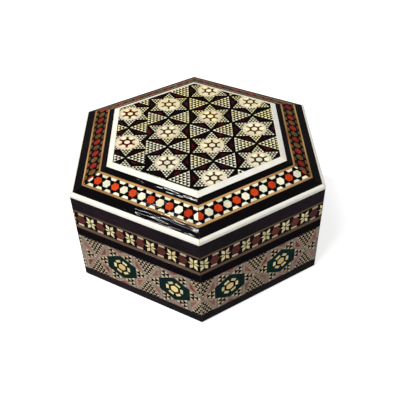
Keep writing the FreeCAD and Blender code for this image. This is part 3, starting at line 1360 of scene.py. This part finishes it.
@dataclass
class BevelBands:
    """The inlay strips on the six bevels: orange and bone hexagons in turn, between halved bone ones; four
    bevels take darker copies, painted shade.
    """

    marquetry: Marquetry
    shape: BoxShape
    spacing: float = 7.0
    hexagon: float = 1.5
    margin: float = 0.05
    starts: Sequence[float] = (3.15, 0.7, 4.55, 1.75, 5.6, 0.0)
    # Bevels with the plain chips; the other four take darker copies as painted shade.
    bright_sides: Sequence[str] = ("front", "front_right")

    def motifs(self, start: float, half_length: float, red: Chip, pale: Chip) -> list[Object]:
        """The rows of hexagons that cover one strip.

        Args:
            start: Place of one red hexagon.
            half_length: Half the strip's length.
            red: Chip of the red hexagons.
            pale: Chip of those between and beside them.

        Returns:
            The hexagons.
        """
        cut = self.marquetry
        pitch = self.spacing / 2.0
        rise = pitch * HALF_ROOT3
        reds = row(self.spacing, start, half_length)
        pales = shifted(reds, pitch, 0.0)
        for sign in BOTH:
            along = sign * pitch / 2.0
            pales += shifted(reds, along, rise) + shifted(reds, along, -rise)
        return [*cut.spread(cut.polygon(6, self.hexagon, red, turn=30.0), reds),
                *cut.spread(cut.polygon(6, self.hexagon, pale, turn=30.0), pales)]

    def build(self) -> None:
        """Makes each strip and cuts its ends to the mitres."""
        low, high = self.shape.bevel_low, self.shape.bevel_high
        half_height = math.hypot(high.y - low.y, high.z - low.z) / 2.0
        long_half, short_half = abs(low.x), abs(high.x)
        mean_half = (long_half + short_half) / 2.0
        mitre = Vector((2.0 * half_height, long_half - short_half)).normalized()
        outline = end_cuts(mean_half - self.margin, tuple(mitre)) + edge_cuts(half_height - self.margin)
        rise = math.pi / 2 - self.shape.slope
        for number, side in enumerate(SIDES):
            panel = InlayPanel("bevel_inlay_" + side, "lid", "bevel_inlay", Chip.EBONY, outline,
                               self.shape.on_bevel(number), normal_of(number, rise),
                               () if number else ("bevel_hexagons",))
            bright = side in self.bright_sides
            pair = (Chip.ORANGE, Chip.BONE) if bright else (Chip.RUST, Chip.AGED)
            panel.build(self.marquetry.palette, self.motifs(self.starts[number], long_half, *pair))


@dataclass
class LidBands:
    """The inlay bands round the lid's sides: maroon hexagons and cream flowers in turn."""

    marquetry: Marquetry
    shape: BoxShape
    spacing: float = 8.1
    hexagon: float = 1.85
    petal: Pair = (0.66, 1.30)
    petal_distance: float = 1.62
    short_petals: Sequence[int] = (0, 3)
    short_share: float = 0.7
    rod: Pair = (2.3, 0.85)
    rod_place: Place = (0.3, 2.4)
    margin: float = 0.05
    corner: float = 0.2
    starts: Sequence[float] = (2.4, 4.9, 1.2, 3.6, 6.9, 0.4)

    def flower(self) -> Object:
        """Four long petals crosswise and a short one to each side.

        Returns:
            The flower.
        """
        cut = self.marquetry
        petal = cut.polygon(4, 1.0, Chip.CREAM, stretch=self.petal)
        petals = cut.around(petal, self.petal_distance, 0.0)
        for number in self.short_petals:
            petals[number].data.transform(Matrix.Scale(self.short_share, 4))
        return merge(petals, "lid_flower")

    def motifs(self, start: float, half_length: float) -> list[Object]:
        """The hexagons, flowers and rods that cover one band.

        Args:
            start: Place of one maroon hexagon.
            half_length: Half the band's length.

        Returns:
            The chips.
        """
        cut = self.marquetry
        along, up = self.rod_place
        maroon = row(self.spacing, start, half_length)
        rods = shifted(maroon, along, up) + shifted(maroon, -along, -up)
        return [*cut.spread(cut.polygon(6, self.hexagon, Chip.MAROON, turn=30.0), maroon),
                *cut.spread(self.flower(), shifted(maroon, self.spacing / 2.0, 0.0)),
                *cut.spread(cut.bar(*self.rod, Chip.PALE), rods)]

    def build(self) -> None:
        """Makes each band and cuts its ends at the corners."""
        half_length, half_height, middle = self.shape.front_size("lid_inlay_front")
        outline = end_cuts(half_length - self.corner) + edge_cuts(half_height - self.margin)
        for number, side in enumerate(SIDES):
            panel = InlayPanel("lid_inlay_" + side, "lid", "lid_band_inlay", Chip.EBONY, outline,
                               self.shape.upright(number, middle), normal_of(number),
                               () if number else ("lid_band_hexagons",))
            panel.build(self.marquetry.palette, self.motifs(self.starts[number], half_length))


@dataclass
class BoxPanels:
    """The star panels round the box's sides: green hexagons with flowers in a pale ground."""

    marquetry: Marquetry
    shape: BoxShape
    spacing: float = 21.6
    green_size: Pair = (12.0, 11.4)
    centre_radius: float = 1.6
    petal: Pair = (2.0, 1.05)
    petal_distance: float = 2.8
    dark_radius: float = 3.1
    point_side: float = 5.4
    point_rows: int = 3
    point_gap: float = 0.08
    point_joint: float = 0.08
    notch_share: float = 0.96
    notch_rim: float = 0.66
    notch_stray: float = 0.35
    triangle_share: float = 0.93
    triangle_rows: int = 7
    triangle_joint: float = 0.07
    margin: float = 0.05
    corner: float = 0.2
    overhang: float = 2.5
    starts: Sequence[float] = (-7.0, -13.4, 3.2, -9.5, 6.0, -4.0)

    def rosette(self) -> Object:
        """A green hexagon with a gold centre and six cream petals in it.

        Returns:
            The rosette.
        """
        cut = self.marquetry
        width, height = self.green_size
        green = cut.polygon(6, 1.0, Chip.GREEN, stretch=(width / 2.0 / HALF_ROOT3, height / 2.0))
        dark = cut.polygon(6, self.dark_radius, Chip.EBONY)
        petals = cut.around(cut.bar(*self.petal, Chip.CREAM), self.petal_distance, 0.0)
        centre = cut.polygon(6, self.centre_radius, Chip.GOLD)
        return merge([cut.sink(green, 2), cut.sink(dark, 1), *petals, centre], "green_rosette")

    def points(self) -> list[Object]:
        """The six pale, dotted points round a green hexagon.

        Returns:
            The points.
        """
        width, height = (size / 2.0 for size in self.green_size)
        slanted = width * height / math.hypot(width, height / 2.0)
        found = []
        for number in range(6):
            base = (width if number % 3 == 0 else slanted) + self.point_gap
            point = self.marquetry.triangle(self.point_side, self.point_rows, Chip.PALE, self.point_joint)
            turn = Matrix.Rotation(number * TURN - math.pi / 2.0, 4, "Z")
            centre = (0.0, base + self.point_side * HALF_ROOT3 / 3.0, 0.0)
            point.data.transform(turn @ Matrix.Translation(centre))
            found.append(point)
        return found

    def unit(self) -> Object:
        """The points and notches of a star, with the two dotted triangles to its right.

        Returns:
            The unit.
        """
        cut = self.marquetry
        tip = self.spacing / 2.0
        notch = cut.notch(tip * self.notch_share, Chip.PINK, Chip.SALMON, self.notch_rim, self.notch_stray)
        notches = cut.around(cut.sink(notch, 1), tip * HALF_ROOT3, 30.0)
        triangles = []
        for sign in BOTH:
            triangle = cut.triangle(tip * self.triangle_share, self.triangle_rows, Chip.PALE,
                                    self.triangle_joint, turn=90.0 + sign * 90.0)
            triangle.data.transform(Matrix.Translation((tip, sign * tip * HALF_ROOT3 * 2.0 / 3.0, 0.0)))
            triangles.append(triangle)
        return merge([*self.points(), *notches, *triangles], "pale_star_unit")

    def build(self) -> None:
        """Makes each panel and cuts it to its side."""
        half_length, half_height, middle = self.shape.front_size("box_inlay_front")
        outline = end_cuts(half_length - self.corner) + edge_cuts(half_height - self.margin)
        unit, rosette = self.unit(), self.rosette()
        for number, side in enumerate(SIDES):
            places = row(self.spacing, self.starts[number], half_length)
            near = [place for place in places if abs(place[0]) < half_length + self.overhang]
            stars = self.marquetry.spread(copy_to(unit, Matrix.Identity(4)), places)
            stars += self.marquetry.spread(copy_to(rosette, Matrix.Identity(4)), near)
            panel = InlayPanel("box_inlay_" + side, "box", "box_inlay", Chip.BEIGE, outline,
                               self.shape.upright(number, middle), normal_of(number),
                               () if number else ("box_star_hexagons",))
            panel.build(self.marquetry.palette, stars)
        discard(unit, rosette)


# Linings

@dataclass
class Linings:
    """Velvet pads inside the box and the lid, with rolled edges and a low crown."""

    palette: Palette
    roll: float = 0.22
    roll_faces: int = 3
    smooth: float = 50.0
    sink: float = 0.34
    crown: Sequence[Pair] = ((0.7, 0.16), (1.1, 0.11), (1.7, 0.07))
    facing: float = 0.95

    def puff(self, pad: Object, towards: Vector) -> None:
        """Crowns the face of a pad: lower at its edges, and fuller in its middle.

        Args:
            pad: Pad to shape.
            towards: The way that the face looks.
        """
        with editing(pad, lambda face: face.normal.dot(towards) > self.facing):
            bpy.ops.transform.translate(value=towards * (-self.sink * MM))
            for width, rise in self.crown:
                bpy.ops.mesh.inset(thickness=width * MM, depth=rise * MM)

    def pad(self, node: str, body: str, towards: Sequence[Vector]) -> None:
        """Makes a lining's pads, crowned and with rounded edges.

        Args:
            node: Lining to replace.
            body: Body that carries it.
            towards: The way that each pad looks.
        """
        pads = pieces_of(node, len(towards) > 1, self.palette.velvet)
        for pad, direction in zip(pads, towards):
            self.puff(pad, direction)
            ease(pad, self.roll, self.roll_faces, self.smooth)
        pad = merge(pads, node + "_pad")
        install(pad, body, "velvet", node)

    def build(self) -> None:
        """Makes the floor, the ceiling and both sets of walls."""
        inwards = [-normal_of(side) for side in range(len(SIDES))]
        self.pad("box_floor_lining", "box", [Vector((0.0, 0.0, 1.0))])
        self.pad("box_wall_lining", "box", inwards)
        self.pad("lid_ceiling_lining", "lid", [Vector((0.0, 0.0, -1.0))])
        self.pad("lid_wall_lining", "lid", inwards)


# Core, strips and hinges

@dataclass
class CoreAndStrips:
    """The wooden core and the facing strips, with the sharpness taken off their edges."""

    palette: Palette
    strip_edge: float = 0.09
    wood_edge: float = 0.15
    edge_faces: int = 2
    smooth: float = 20.0
    rings: Sequence[str] = ("ebony", "bone_line", "orange_wood_line", "brown_wood_line")

    def dress(self, record: dict) -> None:
        """Makes every strip, wall and board.

        Args:
            record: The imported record, which names each piece's material slot.
        """
        palette = self.palette
        # The box's top border gets the darker black, painted shade where it meets the lid.
        special = {"box_top_border": palette.seam_shade_ebony, "bevel_outer_black": palette.deep_ebony,
                   "bevel_inner_black": palette.deep_ebony, "base_board": palette.board,
                   "lid_top_board": palette.board}
        for part in record["subparts"]:
            node, slot = part["node"], part["material_slot"]
            if slot not in palette.strips:
                continue
            ring = slot in self.rings
            finish = special.get(node, palette.strips[slot])
            pieces = pieces_of(node, ring, finish, palette.edges[slot])
            for piece in pieces:
                ease(piece, self.strip_edge if ring else self.wood_edge, self.edge_faces, self.smooth)
            piece = merge(pieces, node + "_eased")
            install(piece, "lid" if node.startswith(("lid", "bevel")) else "box", slot, node)


@dataclass
class Hinges:
    """The small brass hinges: leaves with their knuckles, pins and slotted screws."""

    palette: Palette
    edge: float = 0.06
    edge_faces: int = 2
    smooth: float = 25.0
    slot: tuple[float, float, float] = (4.0, 0.26, 0.3)
    first_turn: float = 0.3
    next_turn: float = 0.65

    def plain(self, node: str, body: str) -> None:
        """Makes leaves or pins with eased edges.

        Args:
            node: Solid to replace.
            body: Body that carries it.
        """
        piece = loose_copy(node, node + "_eased", self.palette.brass)
        weld(piece)
        ease(piece, self.edge, self.edge_faces, self.smooth)
        install(piece, body, "hinge_brass", node)

    def saw_slot(self, screw: Object, upward: bool, turn: float) -> None:
        """Cuts the slot in a screw's head.

        Args:
            screw: Screw to cut.
            upward: Whether its head is at the top.
            turn: The slot's turn, in radians.
        """
        length, width, depth = (size * MM for size in self.slot)
        corners = [Vector(corner) for corner in screw.bound_box]
        centre = sum(corners, Vector()) / len(corners)
        centre.z = (max if upward else min)(corner.z for corner in corners)
        bpy.ops.object.select_all(action="DESELECT")
        bpy.ops.mesh.primitive_cube_add(size=1.0)
        saw = bpy.context.active_object
        saw.data.transform(Matrix.Translation(centre) @ Matrix.Rotation(turn, 4, "Z")
                           @ Matrix.Diagonal((length, width, 2.0 * depth, 1.0)))
        apply_modifier(screw, "BOOLEAN", object=saw, operation="DIFFERENCE", solver="EXACT")
        discard(saw)

    def screws(self, node: str, body: str, upward: bool) -> None:
        """Makes the screws, the slot in each head turned differently.

        Args:
            node: Solid to replace.
            body: Body that carries it.
            upward: Whether the heads are at the top.
        """
        whole = loose_copy(node, node + "_slotted", self.palette.brass)
        weld(whole)
        with editing(whole):
            bpy.ops.mesh.separate(type="LOOSE")
        screws = list(bpy.context.selected_objects)
        for number, screw in enumerate(screws):
            self.saw_slot(screw, upward, self.next_turn * number + self.first_turn)
        piece = merge(screws, node + "_slotted")
        smooth_over(piece, self.smooth)
        install(piece, body, "hinge_brass", node)

    def build(self) -> None:
        """Makes both halves of the hinges."""
        self.plain("hinge_box_leaves", "box")
        self.plain("hinge_lid_leaves", "lid")
        self.plain("hinge_pins", "box")
        self.screws("hinge_box_screws", "box", True)
        self.screws("hinge_lid_screws", "lid", False)


# Studio

@dataclass(frozen=True)
class Lamp:
    """A soft lamp: where it stands, its two sides, in metres, and its power in watts."""

    name: str
    place: tuple[float, float, float]
    size: Pair
    watts: float


@dataclass
class Studio:
    """White floor and surroundings, soft light, and the camera at the photograph's angle."""

    focal: float = 55.3
    azimuth: float = math.radians(29.94)
    elevation: float = math.radians(41.585)
    roll: float = math.radians(-1.83)
    distance: float = 243.35
    aim_right: float = 0.745
    aim_height: float = 13.28
    nearest: float = 1.0
    key: Lamp = Lamp("key_lamp", (-0.16, -0.53, 0.83), (0.40, 0.40), 6.2)
    glint: Lamp = Lamp("glint_lamp", (-0.325, -0.158, 0.785), (0.10, 0.018), 2.1)
    lit_height: float = 30.0
    floor_side: float = 6.0
    floor_drop: float = 0.2
    floor_grey: float = 0.9
    floor_roughness: float = 0.9
    floor_glow: float = 0.7
    world_light: float = 0.25

    def camera(self) -> None:
        """Places the camera."""
        level = Vector((math.cos(self.azimuth), math.sin(self.azimuth), 0.0))
        back = Vector((math.sin(self.azimuth) * math.cos(self.elevation),
                       -math.cos(self.azimuth) * math.cos(self.elevation), math.sin(self.elevation)))
        plumb = back.cross(level)
        aim = level * self.aim_right + Vector((0.0, 0.0, self.aim_height))
        right = level * math.cos(self.roll) + plumb * math.sin(self.roll)
        up = plumb * math.cos(self.roll) - level * math.sin(self.roll)
        data = bpy.data.cameras.new("photo_camera")
        data.lens = self.focal
        data.clip_start = self.nearest * MM
        camera = bpy.data.objects.new("photo_camera", data)
        bpy.context.scene.collection.objects.link(camera)
        turn = Matrix((right, up, back)).transposed().to_4x4()
        camera.matrix_world = Matrix.Translation((aim + back * self.distance) * MM) @ turn
        bpy.context.scene.camera = camera

    def light(self, lamp: Lamp) -> None:
        """Hangs a lamp that faces the box, its first side along X.

        Args:
            lamp: The lamp.
        """
        data = bpy.data.lights.new(lamp.name, "AREA")
        data.shape = "RECTANGLE"
        data.size, data.size_y = lamp.size
        data.energy = lamp.watts
        hung = bpy.data.objects.new(lamp.name, data)
        bpy.context.scene.collection.objects.link(hung)
        back = (Vector(lamp.place) - Vector((0.0, 0.0, self.lit_height * MM))).normalized()
        up = back.cross((1.0, 0.0, 0.0)).normalized()
        turn = Matrix((up.cross(back), up, back)).transposed().to_4x4()
        hung.matrix_world = Matrix.Translation(lamp.place) @ turn

    def floor(self) -> None:
        """Lays a pale floor."""
        bpy.ops.object.select_all(action="DESELECT")
        below = (0.0, 0.0, -self.floor_drop * MM)
        bpy.ops.mesh.primitive_plane_add(size=self.floor_side, location=below)
        floor = bpy.context.active_object
        floor.name = "studio_floor"
        nodes = FinishNodes("studio_floor_white")
        grey = (self.floor_grey, self.floor_grey, self.floor_grey, 1.0)
        nodes.set(Base_Color=grey, Roughness=self.floor_roughness, Specular_IOR_Level=0.0,
                  Emission_Color=(*WHITE, 1.0))
        nodes.drive("Emission Strength", nodes.seen(0.0, self.floor_glow))
        floor.data.materials.append(nodes.material)

    def world(self) -> None:
        """Even white surroundings: full white where they are seen, softer as light."""
        world = bpy.data.worlds.new("studio_world")
        bpy.context.scene.world = world
        world.use_nodes = True
        nodes = Nodes(world.node_tree)
        background = nodes.fill(nodes.tree.nodes["Background"], Color=(*WHITE, 1.0))
        nodes.join(nodes.seen(self.world_light, 1.0), background.inputs["Strength"])

    def build(self) -> None:
        """Sets up the view, the light and the camera."""
        bpy.context.scene.view_settings.view_transform = "Standard"
        self.world()
        self.floor()
        self.light(self.key)
        self.light(self.glint)
        self.camera()


def main() -> None:
    """Builds every sub-assembly in order."""
    logging.basicConfig(level=logging.INFO, format="%(name)s %(message)s")
    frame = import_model()
    palette = Palette()
    marquetry = Marquetry(palette)
    shape = BoxShape.from_frame()
    StarPanel(marquetry).build()
    BevelBands(marquetry, shape).build()
    LidBands(marquetry, shape).build()
    BoxPanels(marquetry, shape).build()
    Linings(palette).build()
    CoreAndStrips(palette).dress(frame["record"])
    Hinges(palette).build()
    Studio().build()
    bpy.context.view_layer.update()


if __name__ == "__main__":
    main()
